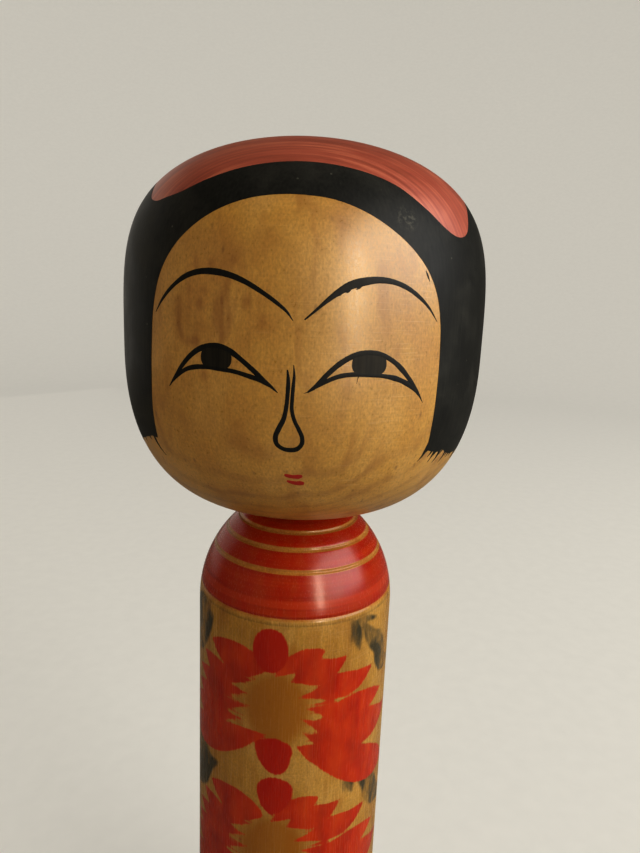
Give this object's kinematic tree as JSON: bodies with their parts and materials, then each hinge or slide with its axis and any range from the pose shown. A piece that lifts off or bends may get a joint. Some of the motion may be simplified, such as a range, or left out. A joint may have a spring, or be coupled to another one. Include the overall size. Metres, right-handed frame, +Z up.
{
  "type": "kokeshi doll",
  "caption": "Free-standing lathe-turned wooden doll: a rounded-box head that turns on a neck peg, on a straight round body with a domed shoulder.",
  "frame": {"origin": "centre of the base, on the surface that the doll stands on", "axes": "+Z up along the turning axis, -Y out of the face, +X to the doll's left hand side"},
  "size_m": [0.1028, 0.1028, 0.303],
  "materials": {
    "head_wood": "turned, painted with ink and dye, waxed",
    "peg_wood": "turned, bare",
    "body_wood": "turned, painted with ink and dye, waxed"
  },
  "bodies": {
    "body": {"body": "body_wood", "neck_peg": "peg_wood"},
    "head": {"head": "head_wood"}
  },
  "joints": [
    {"name": "head_turn", "type": "hinge", "parent": "body", "child": "head", "pos_m": [0, 0, 0.199], "axis": [0, 0, 1], "continuous": true}
  ]
}
